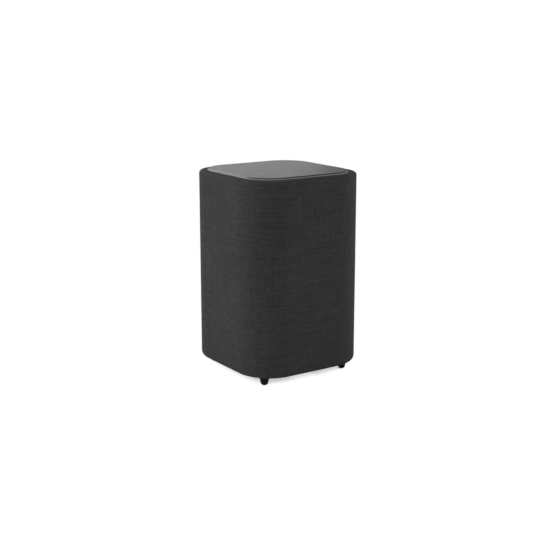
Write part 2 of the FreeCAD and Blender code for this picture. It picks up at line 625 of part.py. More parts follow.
# terminals on the basket, and the flexible leads from there to the cone
term_x = d.spider_reach + 8.5
strip = brick("terminal_plate", 14, 3, 14, 0, d.driver_off - d.spider_reach - 8.5, d.ledge_level - 1.3)
tabs = [brick("terminal_tab", 4, 6, 0.8, s * 4, d.driver_off - d.spider_reach - 14.5, d.ledge_level + 6) for s in (1, -1)]
finish(strip, "terminal_strip")
finish(group("terminal_tabs", tabs), "terminal_tabs")

# ==== port ================================================================================
pr, pw = d.port_reach, d.port_wall
low = d.body_base + 0.4
finish(turned("port_tube", [
    (d.port_flare, low), (d.port_flare, baffle_low), (pr + pw, baffle_low),
    (pr + pw, d.port_top - 10), (d.port_flare, d.port_top - 1.5), (d.port_flare, d.port_top), (d.port_flare - 1, d.port_top),
    (pr + 2.2, d.port_top - 4), (pr, d.port_top - 11), (pr, low + 11), (pr + 2.2, low + 4), (d.port_flare - 1, low)],
    d.port_off), "port_tube")

# ==== connection niche ====================================================================
nl = d.niche_level
tray = rear_block("connection_tray", 0, nl, d.niche_bezel, d.niche_bezel_high, d.bezel_corner, rear_face, d.fabric_thick)
sk = new_sketch(tray, "XZ_Plane", -(rear_core))
rounded(sk, Size.of(0), nl, d.niche_wide, d.niche_high, d.niche_corner)
pad(tray, sk, rear_core - d.niche_floor + d.niche_wall)
sk = new_sketch(tray, "XZ_Plane", -d.niche_floor)
rounded(sk, Size.of(0), nl, d.niche_wide - 2 * d.niche_wall, d.niche_high - 2 * d.niche_wall, d.niche_corner - d.niche_wall)
pocket(tray, sk, rear_face - d.niche_floor + 2)
soften(tray, lambda e: at_depth(rear_face)(e) and e.BoundBox.XMax < float(d.niche_wide) / 2 and e.BoundBox.XMin > -float(d.niche_wide) / 2 and e.BoundBox.ZMax < float(nl) + float(d.niche_high) / 2 and e.BoundBox.ZMin > float(nl) - float(d.niche_high) / 2, 1.2)
# windows in the niche's floor for the inlet, service socket, lamp and button, and four screw holes
sk = new_sketch(tray, "XZ_Plane", -(d.niche_floor - d.niche_wall - 1))
rounded(sk, d.inlet_spot, nl, d.pin_gap + 2 * d.slot_half + 4, 2 * d.slot_half + 4, Size.of(5.9))
rounded(sk, d.usb_spot, nl, Size.of(9.2), Size.of(4.4), Size.of(1))
circle(sk, d.lamp_spot, nl, Size.of(1.6))
circle(sk, d.button_spot, nl, d.button_reach + 0.25)
tray_spots = [(-40, 17), (40, 17), (-40, -17), (40, -17)]
for x, z in tray_spots:
    circle(sk, Size.of(x), nl + z, Size.of(1.7))
pocket(tray, sk, Size.of(5))
finish(tray, "connection_tray")
finish(group("tray_screws", [screw("tray_screw", Size.of(x), d.niche_floor, nl + z, 2.9, 1.6, 1.6, 11, "rear")
                             for x, z in tray_spots]), "tray_screws")

# mains inlet: a two-pole appliance inlet with a figure-of-eight recess
shell = rear_block("inlet_shell", d.inlet_spot, nl, d.pin_gap + 2 * d.slot_half + 3.6, 2 * d.slot_half + 3.6, 5.8,
                   d.niche_floor + 0.6, d.inlet_deep + 2)
doc.recompute()
recess = join("inlet_recess",
              rod("recess_a", d.slot_half, d.inlet_deep + 1, d.inlet_spot - d.pin_gap / 2, d.niche_floor + 0.6 - d.inlet_deep, nl, BACK),
              rod("recess_b", d.slot_half, d.inlet_deep + 1, d.inlet_spot + d.pin_gap / 2, d.niche_floor + 0.6 - d.inlet_deep, nl, BACK),
              brick("recess_c", d.pin_gap, d.inlet_deep + 1, d.slot_half * 2 - 0.8, d.inlet_spot, d.niche_floor + 0.6 - d.inlet_deep, nl - d.slot_half + 0.4))
pin_holes = [rod("pin_hole", d.pin_reach, 10, d.inlet_spot + d.pin_gap / 2 * s, d.niche_floor - d.inlet_deep - 6, nl, BACK) for s in (1, -1)]
finish(cut("power_inlet", shell, recess, *pin_holes), "power_inlet")
pins = []
for s in (1, -1):
    base = rod("pin", d.pin_reach, d.inlet_deep + 4, d.inlet_spot + d.pin_gap / 2 * s, d.niche_floor - d.inlet_deep - 5.4, nl, BACK)
    tip = taper("pin_tip", d.pin_reach, 0.7, 0.8, d.inlet_spot + d.pin_gap / 2 * s, d.niche_floor - 1.4, nl, BACK)
    pins.append(join("inlet_pin", base, tip))
finish(group("power_inlet_pins", pins), "power_inlet_pins")

usb_out = brick("usb_out", 8.4, 12, 3.6, d.usb_spot, d.niche_floor - 12.4, nl - 1.8)
usb_in = brick("usb_in", 7.6, 12, 2.8, d.usb_spot, d.niche_floor - 10, nl - 1.4)
finish(cut("service_socket", usb_out, usb_in), "service_socket")
finish(brick("service_tongue", 4.0, 7, 0.8, d.usb_spot, d.niche_floor - 10, nl - 0.3), "service_socket_tongue")

finish(rod("status_light_pipe", 1.5, 11.9, d.lamp_spot, d.niche_floor - 11.5, nl, BACK), "status_light_pipe")

# connect button: a cap in the tray's hole with a stem that reaches the switch; it travels 0.8 mm inwards
bt = rod("button_cap", d.button_reach, 3.8 + d.button_proud, d.button_spot, d.niche_floor - 3.8, nl, BACK)
rim_cut = taper("button_dish", 2.2, 3.4, 0.5, d.button_spot, d.niche_floor + d.button_proud - 0.4, nl, BACK)
flange_b = rod("button_flange", d.button_reach + 1.2, 1.2, d.button_spot, d.niche_floor - d.niche_wall - 1.6, nl, BACK)
stem = rod("button_stem", 1.5, 4, d.button_spot, d.niche_floor - 7.4, nl, BACK)
finish(cut("connect_button", join("button_blank", bt, flange_b, stem), rim_cut), "connect_button")
sw = brick("switch_body", 6, 3.2, 6, d.button_spot, d.niche_floor - 12.4, nl - 3)
sw_p = rod("switch_plunger", 1.6, 0.7, d.button_spot, d.niche_floor - 9.2, nl, BACK)
finish(join("button_switch", sw, sw_p), "button_switch")

# ==== amplifier, behind the niche =========================================================
chassis_high = d.chassis_top - d.chassis_low
mid = (d.chassis_top + d.chassis_low) / 2
chassis = rear_block("amp_chassis", 0, mid, d.chassis_wide, chassis_high, 4, rear_room, d.chassis_thick)
sk = new_sketch(chassis, "XZ_Plane", -(rear_room - d.chassis_thick - 1))
rounded(sk, Size.of(0), nl, d.niche_wide + 0.6, d.niche_high + 0.6, d.niche_corner + 0.3)
chassis_spots = [(-71.5, 72), (71.5, 72), (-71.5, 180), (71.5, 180), (-71.5, 290), (71.5, 290)]
for x, z in chassis_spots:
    circle(sk, Size.of(x), Size.of(z), Size.of(2.1))
pocket(chassis, sk, d.chassis_thick + 2)
finish(chassis, "amp_chassis")
chassis_face = rear_room - d.chassis_thick
finish(group("chassis_screws", [screw("chassis_screw", Size.of(x), chassis_face, Size.of(z), 3.6, 2.2, 1.95, 12, "front")
                                for x, z in chassis_spots]), "chassis_screws")
sk = new_sketch(wrap, "XZ_Plane", -(rear_room - 1))
for x, z in chassis_spots:
    circle(sk, Size.of(x), Size.of(z), Size.of(2.0))
pocket(wrap, sk, Size.of(12))

hw = d.chassis_wide - 22
housing = rear_block("amp_housing", 0, mid, hw, chassis_high - 6, 6, chassis_face, d.housing_deep)
soften(housing, at_depth(chassis_face - d.housing_deep), 4)
sk = new_sketch(housing, "XZ_Plane", -(chassis_face - d.housing_deep + d.housing_wall))
rounded(sk, Size.of(0), mid, hw - 2 * d.housing_wall, chassis_high - 6 - 2 * d.housing_wall, Size.of(4))
pocket(housing, sk, d.housing_deep)
sk = new_sketch(housing, "XZ_Plane", -(chassis_face - d.housing_deep - 1))
circle(sk, Size.of(-40), Size.of(278), Size.of(4.05))
pocket(housing, sk, Size.of(6))
finish(housing, "amp_housing")

board_face = chassis_face - 6
main = rear_block("amp_board", 0, 212, 124, 146, 3, board_face, d.board_thick)
sk = new_sketch(main, "XZ_Plane", -(board_face - d.board_thick - 1))
stand_spots = [(-56, 144), (56, 144), (-56, 280), (56, 280)]
for x, z in stand_spots:
    circle(sk, Size.of(x), Size.of(z), Size.of(1.7))
pocket(main, sk, Size.of(5))
finish(main, "amp_board")
finish(group("board_standoffs", [rod("standoff", 3, 6, Size.of(x), board_face, Size.of(z), BACK) for x, z in stand_spots]), "board_standoffs")
board_front = board_face - d.board_thick
finish(group("board_screws", [screw("board_screw", Size.of(x), board_front, Size.of(z), 2.8, 1.8, 1.5, 1.6, "front") for x, z in stand_spots]), "board_screws")

caps = [rod("capacitor", 11, 24, Size.of(x), board_front - 24, Size.of(z), BACK) for x, z in ((-46, 168), (-22, 168))]
finish(group("reservoir_capacitors", caps), "reservoir_capacitors")
core = brick("transformer_core", 30, 20, 26, Size.of(-34), board_front - 20, Size.of(196))
wind = brick("transformer_winding", 34, 14, 18, Size.of(-34), board_front - 17, Size.of(200))
finish(join("power_transformer", core, wind), "power_transformer")
coils = []
for x in (-46, -22):
    coils.append(cut("output_coil", rod("coil_out", 10, 12, Size.of(x), board_front - 12, Size.of(254), BACK),
                     rod("coil_in", 4, 14, Size.of(x), board_front - 13, Size.of(254), BACK)))
finish(group("output_coils", coils), "output_coils")
sink = rear_block("heat_sink", 30, 240, 56, 60, 1, board_front, 24)
sk = new_sketch(sink, "XZ_Plane", -(board_front - 25))
for k in range(7):
    rounded(sk, Size.of(30 - 22.8 + 7.6 * k), Size.of(240), Size.of(5.2), Size.of(70), Size.of(0.5))
pocket(sink, sk, Size.of(21))
finish(sink, "heat_sink")
finish(brick("wireless_module", 26, 3, 20, Size.of(34), board_front - 3, Size.of(150)), "wireless_module")

io_face = d.niche_floor - 12.4
io = rear_block("connection_board", 0, nl, 88, 44, 2, io_face, d.board_thick)
sk = new_sketch(io, "XZ_Plane", -(io_face - d.board_thick - 1))
for s in (1, -1):
    circle(sk, d.inlet_spot + d.pin_gap / 2 * s, nl, Size.of(1.5))
pocket(io, sk, Size.of(5))
finish(io, "connection_board")
hubs = []
for x, z in tray_spots:
    hubs.append(cut("tray_boss", rod("boss_out", 2.6, d.niche_floor - d.niche_wall - io_face, Size.of(x), io_face, nl + z, BACK),
                    rod("boss_in", 1.65, 14, Size.of(x), io_face + 1, nl + z, BACK)))
finish(group("tray_bosses", hubs), "tray_bosses")

# speaker lead: from a grommet in the amplifier housing to the driver's terminals
grommet = turned("lead_grommet", [(Size.of(2.1), Size.of(-3)), (Size.of(6), Size.of(-3)), (Size.of(6), Size.of(0)), (Size.of(4), Size.of(0)),
                                  (Size.of(4), Size.of(2)), (Size.of(6), Size.of(2)), (Size.of(6), Size.of(3.5)), (Size.of(2.1), Size.of(3.5))])
place(grommet, -40, chassis_face - d.housing_deep, 278, BACK)
finish(grommet, "lead_grommet")


def run_path(points):
    """Straight runs joined by tangent arcs, each arc as large as its two runs allow."""
    pts = [Vector(*p) for p in points]
    edges, here, radii = [], pts[0], []
    for k in range(1, len(pts) - 1):
        a, b = (pts[k - 1] - pts[k]), (pts[k + 1] - pts[k])
        short = min(a.Length, b.Length)
        a.normalize(), b.normalize()
        turn = math.pi - a.getAngle(b)
        r = 0.45 * short / math.tan(turn / 2)
        back = r * math.tan(turn / 2)
        s, e = pts[k] + a * back, pts[k] + b * back
        mid = (a + b).normalize()
        c = pts[k] + mid * (r / math.cos(turn / 2))
        m = c - mid * r
        edges.append(Part.LineSegment(here, s).toShape())
        edges.append(Part.Arc(s, m, e).toShape())
        here = e
        radii.append(round(r, 1))
    edges.append(Part.LineSegment(here, pts[-1]).toShape())
    return Part.Wire(edges), radii


def lead(points, r):
    wire, radii = run_path(points)
    first = wire.Edges[0]
    direction = (first.valueAt(first.LastParameter) - first.valueAt(first.FirstParameter)).normalize()
    ring = Part.Wire([Part.Circle(Vector(*points[0]), direction, r).toShape()])
    solid = wire.makePipeShell([ring], True, True)
    want = math.pi * r * r * wire.Length
    if abs(solid.Volume - want) > 0.02 * want:
        raise RuntimeError("a lead came out with the wrong volume")
    return solid, radii, wire.Length


gy = chassis_face.value - d.housing_deep.value
tz = d.ledge_level.value + 6.4
ty = d.driver_off.value - d.spider_reach.value - 14.5
lead_points = [(-40, gy - 3.0, 278), (-40, gy - 22, 276), (-52, gy - 48, 262), (-76, gy - 62, 226), (-90, gy - 72, 178),
               (-97, gy - 92, 134), (-92, gy - 122, 104), (-70, ty - 2, 90), (-42, ty - 15, 84), (-18, ty - 15, tz + 1), (-4, ty - 13, tz), (-4, ty - 3, tz)]
lead_points = lead_points[:-2] + [(-6.5, ty - 9, tz + 0.4), (-4.2, ty - 1.0, tz)]
solid, radii, long = lead(lead_points, 2.0)
print("speaker_lead radii", radii, "length", round(long, 1))
speaker_lead = doc.addObject("Part::Feature", "speaker_lead")
speaker_lead.Shape = solid
speaker_lead.Placement = Placement()
finish(speaker_lead, "speaker_lead")

# braided leads from the terminals to the cone: they flex with it
braids = []
for s in (1, -1):
    y0 = d.driver_off.value - d.spider_reach.value
    zt = d.ledge_level.value
    pts = [(s * 4, y0 - 7.6, zt - 1.4), (s * 4.6, y0 - 7.9, zt - 13), (s * 6, y0 + 7, zt - 20.5), (s * 7, y0 + 22, zt - 14),
           (s * 7, y0 + 31.5, zt - 16.0)]
    solid, radii, _ = lead(pts, 0.8)
    braids.append(solid)
tinsel = doc.addObject("Part::Feature", "tinsel_leads")
tinsel.Shape = Part.Compound(braids)
tinsel.Placement = Placement()
finish(tinsel, "tinsel_leads")

# ==== check and write =====================================================================
doc.recompute()
for obj in doc.Objects:
    if "Invalid" in obj.State or "Error" in obj.State:
        raise RuntimeError("%s (%s) failed: %s" % (obj.Name, obj.Label, obj.State))
os.makedirs("parts", exist_ok=True)
labels = [p.Label for p in parts]
if len(set(labels)) != len(labels):
    raise RuntimeError("two sub-parts share a label")
for p in parts:
    shape = p.Shape
    if shape.isNull() or not shape.isValid() or not shape.Solids or shape.Volume <= 0:
        raise RuntimeError("%s has no valid solid" % p.Label)
for old in os.listdir("parts"):
    if old.endswith(".step") and old[:-5] not in labels:
        os.remove(os.path.join("parts", old))
for p in parts:
    p.Shape.exportStep(os.path.join("parts", p.Label + ".step"))
print(len(parts), "sub-parts written")
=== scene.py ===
"""Looks of the fabric-wrapped subwoofer: metres, +Z up, the floor is z = 0, the front faces -Y."""
import bpy
import bmesh
import json
import math
import numpy as np
from mathutils import Matrix, Vector


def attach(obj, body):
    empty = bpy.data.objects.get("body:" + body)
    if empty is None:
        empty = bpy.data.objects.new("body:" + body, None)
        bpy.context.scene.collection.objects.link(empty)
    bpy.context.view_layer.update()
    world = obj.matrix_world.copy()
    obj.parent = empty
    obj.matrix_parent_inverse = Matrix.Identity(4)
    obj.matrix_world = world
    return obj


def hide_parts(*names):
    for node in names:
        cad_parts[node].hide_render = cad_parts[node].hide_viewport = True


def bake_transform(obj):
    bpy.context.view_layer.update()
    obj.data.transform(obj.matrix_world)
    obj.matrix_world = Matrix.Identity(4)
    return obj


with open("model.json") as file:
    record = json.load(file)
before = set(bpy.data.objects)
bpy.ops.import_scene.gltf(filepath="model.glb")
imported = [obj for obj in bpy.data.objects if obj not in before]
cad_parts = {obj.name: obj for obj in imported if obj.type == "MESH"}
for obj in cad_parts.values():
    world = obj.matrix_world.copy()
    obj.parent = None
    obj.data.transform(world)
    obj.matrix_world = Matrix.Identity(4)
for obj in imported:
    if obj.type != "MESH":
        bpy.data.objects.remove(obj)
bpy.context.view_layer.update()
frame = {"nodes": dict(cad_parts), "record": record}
nodes = frame["nodes"]
scene = bpy.context.scene
rng = np.random.default_rng(7)


# ---- node materials ----------------------------------------------------------------------
class Nodes:
    """Short calls for building one material's node tree."""

    def __init__(self, name, rough=0.5, metallic=0.0, ior=1.5, specular=0.5, coat=0.0, coat_rough=0.2, sheen=0.0):
        self.mat = bpy.data.materials.new(name)
        self.mat.use_nodes = True
        self.t = self.mat.node_tree
        self.t.nodes.clear()
        self.out = self.t.nodes.new("ShaderNodeOutputMaterial")
        self.p = self.t.nodes.new("ShaderNodeBsdfPrincipled")
        self.t.links.new(self.p.outputs[0], self.out.inputs[0])
        self.set("Roughness", rough)
        self.set("Metallic", metallic)
        self.set("IOR", ior)
        self.set("Specular IOR Level", specular)
        self.set("Coat Weight", coat)
        self.set("Coat Roughness", coat_rough)
        self.set("Sheen Weight", sheen)
        if sheen:
            self.set("Sheen Roughness", 0.45)
        self.obj = self.new("ShaderNodeTexCoord").outputs["Object"]

    def new(self, kind, **props):
        n = self.t.nodes.new(kind)
        for k, v in props.items():
            setattr(n, k, v)
        return n

    def set(self, name, value):
        s = self.p.inputs[name]
        if hasattr(value, "links") or isinstance(value, bpy.types.NodeSocket):
            self.t.links.new(value, s)
        else:
            s.default_value = value

    def feed(self, socket, value):
        if isinstance(value, bpy.types.NodeSocket):
            self.t.links.new(value, socket)
        elif value is not None:
            socket.default_value = value

    def math(self, op, a, b=None, c=None, clamp=False):
        n = self.new("ShaderNodeMath", operation=op, use_clamp=clamp)
        for k, v in enumerate((a, b, c)):
            self.feed(n.inputs[k], v)
        return n.outputs[0]

    def scale(self, vector, xyz):
        n = self.new("ShaderNodeVectorMath", operation="MULTIPLY")
        self.feed(n.inputs[0], vector)
        n.inputs[1].default_value = xyz
        return n.outputs[0]

    def noise(self, vector, scale, detail=3.0, rough=0.55, distortion=0.0):
        n = self.new("ShaderNodeTexNoise")
        self.feed(n.inputs["Vector"], vector)
        n.inputs["Scale"].default_value = scale
        n.inputs["Detail"].default_value = detail
        n.inputs["Roughness"].default_value = rough
        n.inputs["Distortion"].default_value = distortion
        return n.outputs[0]

    def cells(self, vector, scale, feature="F1"):
        n = self.new("ShaderNodeTexVoronoi", feature=feature)
        self.feed(n.inputs["Vector"], vector)
        n.inputs["Scale"].default_value = scale
        return n.outputs["Distance"]

    def span(self, value, a, b, c, d, smooth=True):
        n = self.new("ShaderNodeMapRange", clamp=True)
        if smooth:
            n.interpolation_type = "SMOOTHSTEP"
        self.feed(n.inputs[0], value)
        for k, v in zip((1, 2, 3, 4), (a, b, c, d)):
            n.inputs[k].default_value = v
        return n.outputs[0]

    def ramp(self, value, stops):
        n = self.new("ShaderNodeValToRGB")
        self.feed(n.inputs[0], value)
        e = n.color_ramp.elements
        while len(e) < len(stops):
            e.new(0.5)
        for k, (at, colour) in enumerate(stops):
            e[k].position = at
            e[k].color = (*colour, 1)
        return n.outputs[0]

    def mix(self, factor, a, b, blend="MIX"):
        n = self.new("ShaderNodeMix", data_type="RGBA", blend_type=blend)
        self.feed(n.inputs["Factor"], factor)
        for name, v in (("A", a), ("B", b)):
            s = [i for i in n.inputs if i.name == name and i.type == "RGBA"][0]
            if isinstance(v, bpy.types.NodeSocket):
                self.t.links.new(v, s)
            else:
                s.default_value = (*v, 1)
        return [o for o in n.outputs if o.type == "RGBA"][0]

    def bump(self, height, distance, strength=1.0, over=None):
        n = self.new("ShaderNodeBump")
        n.inputs["Strength"].default_value = strength
        n.inputs["Distance"].default_value = distance
        self.feed(n.inputs["Height"], height)
        if over is not None:
            self.t.links.new(over, n.inputs["Normal"])
        return n.outputs[0]

    def finish(self, colour, normal=None, rough=None):
        self.set("Base Color", colour if isinstance(colour, bpy.types.NodeSocket) else (*colour, 1))
        if normal is not None:
            self.set("Normal", normal)
        if rough is not None:
            self.set("Roughness", rough)
        return self.mat


def shade(c, k):
    return tuple(min(1.0, x * k) for x in c)


def moulded(name, colour, rough=0.45, grain=9000.0, depth=0.00003, dust=0.06, spec=0.5):
    """Moulded plastic with a fine spark-eroded grain, faint flow and handling marks."""
    m = Nodes(name, rough=rough, specular=spec)
    broad = m.noise(m.obj, 14.0, 4.0)
    fine = m.noise(m.obj, grain * 0.18, 2.0)
    speck = m.cells(m.obj, grain * 0.14)
    height = m.math("ADD", m.math("MULTIPLY", fine, 0.6), m.math("MULTIPLY", speck, 0.5))
    tone = m.mix(m.span(broad, 0.3, 0.7, 0, 1), shade(colour, 1 - dust * 0.6), shade(colour, 1 + dust))
    scuff = m.noise(m.scale(m.obj, (1.0, 1.0, 0.25)), 60.0, 6.0, 0.7)
    return m.finish(tone, m.bump(height, depth, 0.5), m.math("ADD", m.span(scuff, 0.35, 0.7, rough - 0.06, rough + 0.07), 0.0))


def rubbery(name, colour, rough=0.62):
    m = Nodes(name, rough=rough, specular=0.35)
    fine = m.noise(m.obj, 1500.0, 3.0)
    broad = m.noise(m.obj, 22.0, 4.0)
    bloom = m.mix(m.span(broad, 0.4, 0.75, 0, 1), colour, shade(colour, 1.5))
    return m.finish(bloom, m.bump(fine, 0.00004, 0.4), m.span(broad, 0.3, 0.7, rough - 0.08, rough + 0.08))


def metal(name, colour, rough=0.35, brushed=(1.0, 1.0, 12.0)):
    m = Nodes(name, rough=rough, metallic=1.0)
    lines = m.noise(m.scale(m.obj, brushed), 260.0, 4.0, 0.7)
    broad = m.noise(m.obj, 30.0, 5.0, 0.6)
    tone = m.mix(m.span(broad, 0.35, 0.7, 0, 1), shade(colour, 0.86), shade(colour, 1.06))
    return m.finish(tone, m.bump(lines, 0.00003, 0.35), m.span(broad, 0.3, 0.7, rough - 0.07, rough + 0.1))


def coated(name, colour, rough=0.42, specular=0.5):
    """Powder coat: a fine orange peel."""
    m = Nodes(name, rough=rough, specular=specular)
    peel = m.noise(m.obj, 900.0, 2.0, 0.5)
    fine = m.noise(m.obj, 3200.0, 2.0)
    broad = m.noise(m.obj, 18.0, 3.0)
    tone = m.mix(broad, shade(colour, 0.9), shade(colour, 1.15))
    return m.finish(tone, m.bump(m.math("ADD", peel, m.math("MULTIPLY", fine, 0.4)), 0.00005, 0.5), m.span(peel, 0.3, 0.7, rough - 0.05, rough + 0.06))


def woven(name, dark, light, pitch=0.00085, depth=0.00022):
    """Plain weave of melange yarn. The map's u runs round the cabinet and v along the cloth's length, in metres."""
    m = Nodes(name, rough=0.8, specular=0.025)
    uv = m.new("ShaderNodeUVMap", uv_map="cloth").outputs[0]
    part = m.new("ShaderNodeSeparateXYZ")
    # the yarns wander a little
    wander = m.new("ShaderNodeVectorMath", operation="MULTIPLY_ADD")
    drift = m.new("ShaderNodeTexNoise")
    m.feed(drift.inputs["Vector"], uv)
    drift.inputs["Scale"].default_value = 55.0
    drift.inputs["Detail"].default_value = 2.0
    m.feed(wander.inputs[0], drift.outputs["Color"])
    wander.inputs[1].default_value = (0.0011, 0.0011, 0)
    m.feed(wander.inputs[2], uv)
    m.feed(part.inputs[0], wander.outputs[0])
    u = m.math("DIVIDE", part.outputs[0], pitch)
    v = m.math("DIVIDE", part.outputs[1], pitch)
    pu, pv = m.math("FRACT", u), m.math("FRACT", v)
    iu, iv = m.math("FLOOR", u), m.math("FLOOR", v)
    round_u = m.math("SINE", m.math("MULTIPLY", pu, math.pi))
    round_v = m.math("SINE", m.math("MULTIPLY", pv, math.pi))
    lift_u = m.math("MULTIPLY_ADD", m.math("SINE", m.math("MULTIPLY", m.math("ADD", v, iu), math.pi)), 0.5, 0.5)
    lift_v = m.math("MULTIPLY_ADD", m.math("SINE", m.math("MULTIPLY", m.math("ADD", u, iv), math.pi)), -0.5, 0.5)
    warp = m.math("MULTIPLY", m.math("POWER", round_u, 0.7), m.math("MULTIPLY_ADD", lift_u, 0.8, 0.2))
    weft = m.math("MULTIPLY", m.math("POWER", round_v, 0.7), m.math("MULTIPLY_ADD", lift_v, 0.8, 0.2))
    top = m.math("GREATER_THAN", weft, warp)
    height = m.math("MAXIMUM", warp, weft)
    # each yarn has its own shade, which changes along its length
    pair = m.new("ShaderNodeCombineXYZ")
    m.feed(pair.inputs[0], m.math("MULTIPLY", part.outputs[0], 34.0))
    m.feed(pair.inputs[1], m.math("MULTIPLY", iv, 0.73))
    weft_tone = m.noise(pair.outputs[0], 1.0, 3.0, 0.6)
    pair2 = m.new("ShaderNodeCombineXYZ")
    m.feed(pair2.inputs[0], m.math("MULTIPLY", iu, 0.73))
    m.feed(pair2.inputs[1], m.math("MULTIPLY", part.outputs[1], 42.0))
    warp_tone = m.noise(pair2.outputs[0], 1.0, 3.0, 0.6)
    tone = m.new("ShaderNodeMix", data_type="FLOAT")
    m.feed(tone.inputs[0], top)
    m.feed(tone.inputs[2], warp_tone)
    m.feed(tone.inputs[3], weft_tone)
    # slubs: short thick places in the weft, and faint darker bars of a few yarns
    slub_at = m.noise(m.scale(uv, (26.0, 520.0, 1.0)), 1.0, 2.0, 0.5)
    slub = m.span(slub_at, 0.62, 0.76, 0.0, 1.0)
    bar = m.noise(m.scale(uv, (7.0, 210.0, 1.0)), 1.0, 3.0, 0.6)
    post = m.noise(m.scale(uv, (260.0, 6.0, 1.0)), 1.0, 3.0, 0.6)
    broad = m.noise(m.scale(uv, (5.0, 5.0, 1.0)), 1.0, 3.0, 0.5)
    fibre = m.noise(m.scale(uv, (9000.0, 9000.0, 1.0)), 1.0, 2.0, 0.7)
    mixed = m.math("MULTIPLY_ADD", tone.outputs[0], 1.15, -0.10)
    mixed = m.math("ADD", mixed, m.math("MULTIPLY", m.math("SUBTRACT", bar, 0.5), 0.42))
    mixed = m.math("ADD", mixed, m.math("MULTIPLY", m.math("SUBTRACT", post, 0.5), 0.30))
    mixed = m.math("ADD", mixed, m.math("MULTIPLY", m.math("SUBTRACT", fibre, 0.5), 0.35))
    mixed = m.math("ADD", mixed, m.math("MULTIPLY", slub, 0.12))
    colour = m.ramp(mixed, [(0.18, dark), (0.5, tuple((a + b) * 0.5 for a, b in zip(dark, light))), (0.85, light)])
    shadow = m.span(height, 0.05, 0.75, 0.55, 1.0)
    colour = m.mix(1.0, colour, m.ramp(shadow, [(0.0, (0, 0, 0)), (1.0, (1, 1, 1))]), "MULTIPLY")
    colour = m.mix(m.span(broad, 0.3, 0.7, 0.0, 0.10), colour, shade(dark, 0.8))
    lumps = m.math("ADD", m.math("MULTIPLY", height, 1.0), m.math("ADD", m.math("MULTIPLY", slub, 0.7), m.math("MULTIPLY", fibre, 0.18)))
    return m.finish(colour, m.bump(lumps, depth, 0.55), m.span(fibre, 0.3, 0.7, 0.68, 0.82))


def panel_material():
    """Satin soft-touch panel: a very fine grain and faint, wide variations of gloss."""
    m = Nodes("panel_satin", rough=0.42, specular=0.27)
    fine = m.noise(m.obj, 2600.0, 2.0, 0.6)
    speck = m.cells(m.obj, 1900.0)
    broad = m.noise(m.obj, 7.0, 4.0, 0.6)
    wipe = m.noise(m.scale(m.obj, (1.0, 5.0, 1.0)), 22.0, 5.0, 0.65)
    tone = m.mix(m.span(broad, 0.3, 0.7, 0, 1), (0.0105, 0.0110, 0.0122), (0.0150, 0.0155, 0.0168))
    tone = m.mix(m.span(fine, 0.35, 0.65, 0.0, 0.25), tone, (0.026, 0.027, 0.028))
    rough = m.math("ADD", m.span(wipe, 0.3, 0.72, 0.40, 0.44), m.span(broad, 0.3, 0.7, -0.01, 0.01))
    return m.finish(tone, m.bump(m.math("ADD", fine, m.math("MULTIPLY", speck, 0.5)), 0.000025, 0.4), rough)


def board_material():
    """Raw medium-density fibreboard, painted black where it borders the open underside."""
    m = Nodes("board_wood", rough=0.85, specular=0.25)
    fibre = m.noise(m.obj, 420.0, 6.0, 0.75)
    cloud = m.noise(m.obj, 30.0, 4.0)
    dots = m.cells(m.scale(m.obj, (1.0, 1.0, 2.2)), 900.0)
    tone = m.ramp(fibre, [(0.3, (0.20, 0.125, 0.065)), (0.5, (0.33, 0.22, 0.125)), (0.72, (0.47, 0.33, 0.20))])
    tone = m.mix(m.span(cloud, 0.35, 0.7, 0.0, 0.35), tone, (0.25, 0.16, 0.085))
    part = m.new("ShaderNodeSeparateXYZ")
    m.feed(part.inputs[0], m.obj)
    tone = m.mix(m.span(part.outputs[2], 0.0560, 0.0566, 1.0, 0.0), tone, (0.012, 0.012, 0.0125))
    return m.finish(tone, m.bump(m.math("ADD", fibre, m.math("MULTIPLY", dots, 0.4)), 0.0002, 0.5), m.span(fibre, 0.3, 0.7, 0.78, 0.92))


def pulp_material():
    """Pressed paper fibre: short dark fibres, matte."""
    m = Nodes("cone_pulp", rough=0.72, specular=0.3, sheen=0.05)
    warp = m.new("ShaderNodeVectorMath", operation="MULTIPLY_ADD")
    n = m.new("ShaderNodeTexNoise")
    m.feed(n.inputs["Vector"], m.obj)
    n.inputs["Scale"].default_value = 240.0
    m.feed(warp.inputs[0], n.outputs["Color"])
    warp.inputs[1].default_value = (0.004, 0.004, 0.004)
    m.feed(warp.inputs[2], m.obj)
    fibres = m.cells(warp.outputs[0], 900.0, "F1")
    cloud = m.noise(m.obj, 90.0, 5.0, 0.7)
    tone = m.mix(m.span(fibres, 0.1, 0.7, 0, 1), (0.020, 0.020, 0.021), (0.042, 0.041, 0.041))
    tone = m.mix(m.span(cloud, 0.45, 0.7, 0.0, 0.5), tone, (0.052, 0.051, 0.05))
    return m.finish(tone, m.bump(m.math("ADD", fibres, m.math("MULTIPLY", cloud, 0.8)), 0.00022, 0.6), m.span(cloud, 0.3, 0.7, 0.66, 0.8))


def cloth_material(name, dark, light, pitch=0.0006):
    """Open resin-dipped cloth, from object coordinates."""
    m = Nodes(name, rough=0.8, specular=0.3)
    s = m.scale(m.obj, (1 / pitch, 1 / pitch, 1 / pitch))
    part = m.new("ShaderNodeSeparateXYZ")
    m.feed(part.inputs[0], s)
    a = m.math("ABSOLUTE", m.math("SINE", m.math("MULTIPLY", part.outputs[0], math.pi)))
    b = m.math("ABSOLUTE", m.math("SINE", m.math("MULTIPLY", part.outputs[1], math.pi)))
    height = m.math("MAXIMUM", a, b)
    cloud = m.noise(m.obj, 120.0, 4.0)
    # painted shade: the cloth is lighter on the raised threads and darker in the low places between them
    tone = m.mix(m.span(height, 0.2, 0.9, 0, 1), dark, light)
    tone = m.mix(m.span(cloud, 0.4, 0.7, 0.0, 0.4), tone, dark)
    return m.finish(tone, m.bump(height, 0.00012, 0.7), m.span(cloud, 0.3, 0.7, 0.72, 0.88))


